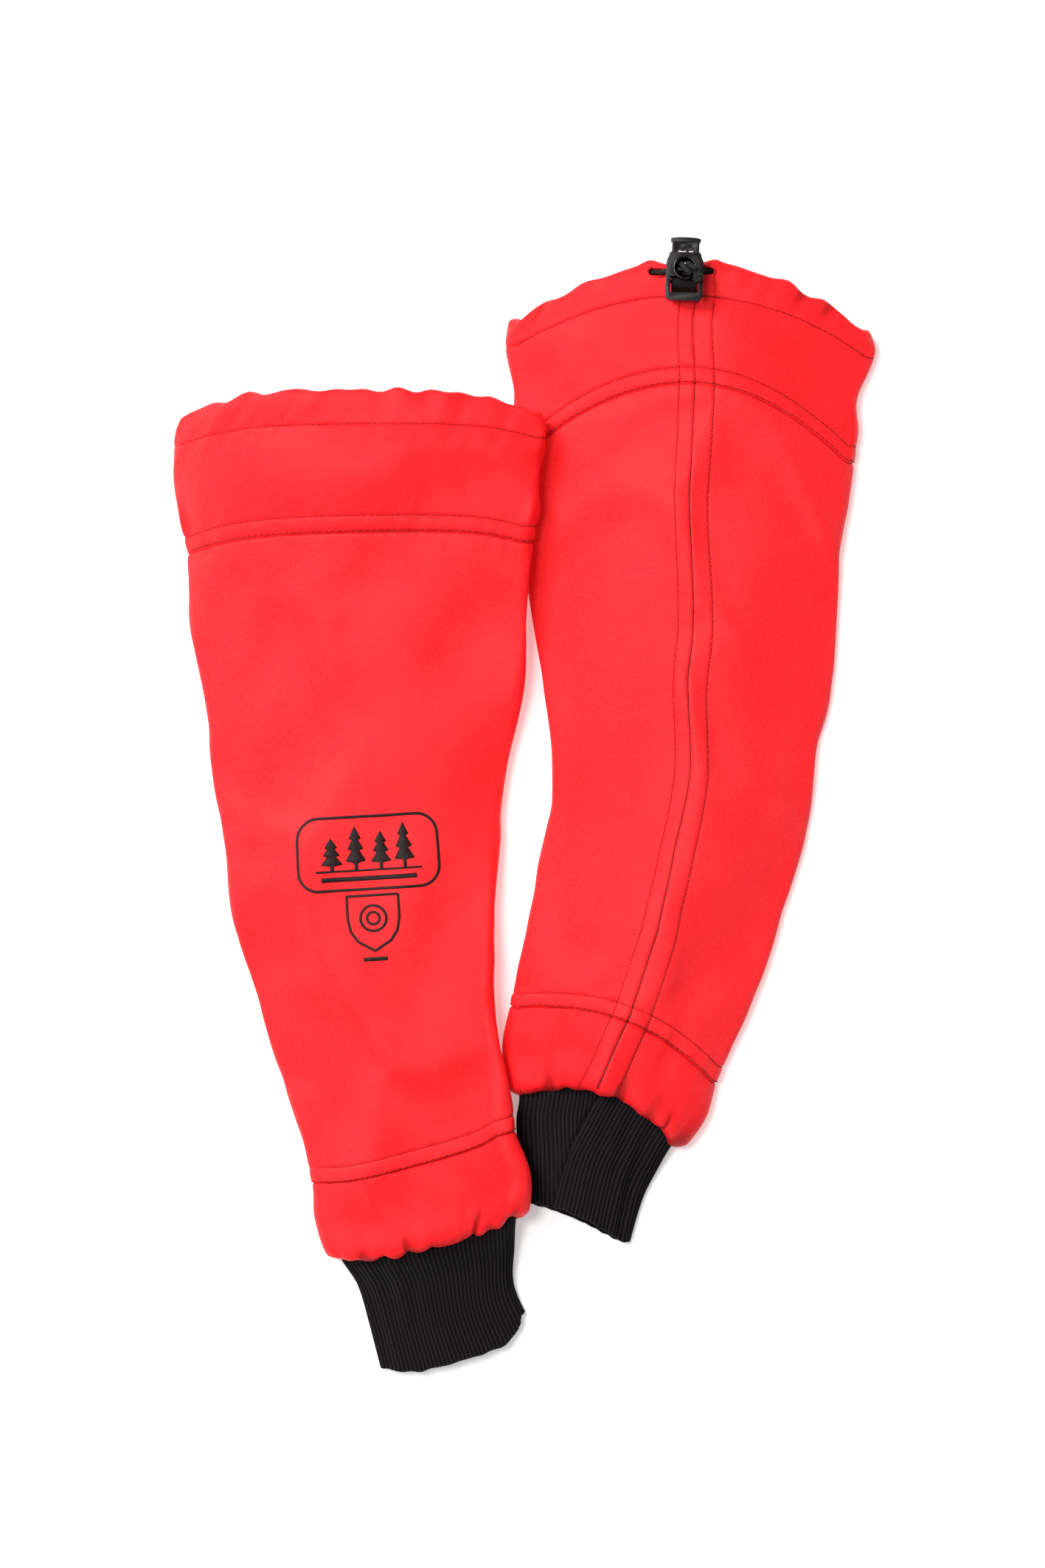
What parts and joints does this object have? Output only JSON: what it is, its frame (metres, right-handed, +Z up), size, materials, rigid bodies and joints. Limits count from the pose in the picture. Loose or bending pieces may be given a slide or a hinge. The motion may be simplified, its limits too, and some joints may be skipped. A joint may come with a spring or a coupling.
{
  "type": "pair of chainsaw protection arm sleeves",
  "caption": "Pair of padded red arm sleeves with a drawcord and cord lock at the top and black rib-knit wrist cuffs, one lying over the other's edge.",
  "frame": {"origin": "centre of the pair's footprint on the surface it lies on", "axes": "+Z up off the surface, +Y towards the sleeves' upper openings, +X to the right sleeve"},
  "size_m": [0.3891, 0.6273, 0.0615],
  "materials": {
    "red_fabric": "satin",
    "grey_lining": "matte",
    "white_guard": "matte",
    "black_rib": "matte",
    "black_cord": "matte",
    "black_webbing": "matte",
    "black_plastic": "gloss",
    "spring_steel": "satin"
  },
  "bodies": {
    "right_sleeve": {"right_upper_band": "red_fabric", "right_main_panel": "red_fabric", "right_lower_band": "red_fabric", "right_saw_guard": "white_guard", "right_lining": "grey_lining", "right_rib_cuff": "black_rib", "right_outer_buttonhole": "black_cord", "right_inner_buttonhole": "black_cord", "right_drawcord": "black_cord"},
    "right_lock": {"right_lock_housing": "black_plastic", "right_webbing_tab": "black_webbing", "right_lock_spring": "spring_steel", "right_cord_knot": "black_cord"},
    "right_button": {"right_lock_button": "black_plastic"},
    "left_sleeve": {"left_upper_band": "red_fabric", "left_main_panel": "red_fabric", "left_lower_band": "red_fabric", "left_saw_guard": "white_guard", "left_lining": "grey_lining", "left_rib_cuff": "black_rib", "left_outer_buttonhole": "black_cord", "left_inner_buttonhole": "black_cord", "left_drawcord": "black_cord"},
    "left_lock": {"left_lock_housing": "black_plastic", "left_webbing_tab": "black_webbing", "left_lock_spring": "spring_steel", "left_cord_knot": "black_cord"},
    "left_button": {"left_lock_button": "black_plastic"}
  },
  "joints": [
    {"name": "left_sleeve_lift", "type": "slide", "parent": "right_sleeve", "child": "left_sleeve", "axis": [0, 0, 1], "range_m": [0, 0.12]},
    {"name": "right_lock_tilt", "type": "hinge", "parent": "right_sleeve", "child": "right_lock", "pos_m": [0.08763, 0.2775, 0.0428], "axis": [0.9981, -0.0512, 0.0336], "range_deg": [0, 60], "deforming": ["right_drawcord"]},
    {"name": "right_button_press", "type": "slide", "parent": "right_lock", "child": "right_button", "axis": [-0.0512, -0.9987, 0], "range_m": [0, 0.003], "stiffness_N_per_m": 1200, "springref_m": -0.002, "deforming": ["right_lock_spring"]},
    {"name": "left_lock_tilt", "type": "hinge", "parent": "left_sleeve", "child": "left_lock", "pos_m": [-0.08878, 0.18568, 0.0185], "axis": [-0.9977, -0.0677, -0.0004], "range_deg": [0, 60], "deforming": ["left_drawcord"]},
    {"name": "left_button_press", "type": "slide", "parent": "left_lock", "child": "left_button", "axis": [0.0677, -0.9977, 0], "range_m": [0, 0.003], "stiffness_N_per_m": 1200, "springref_m": -0.002, "deforming": ["left_lock_spring"]}
  ]
}
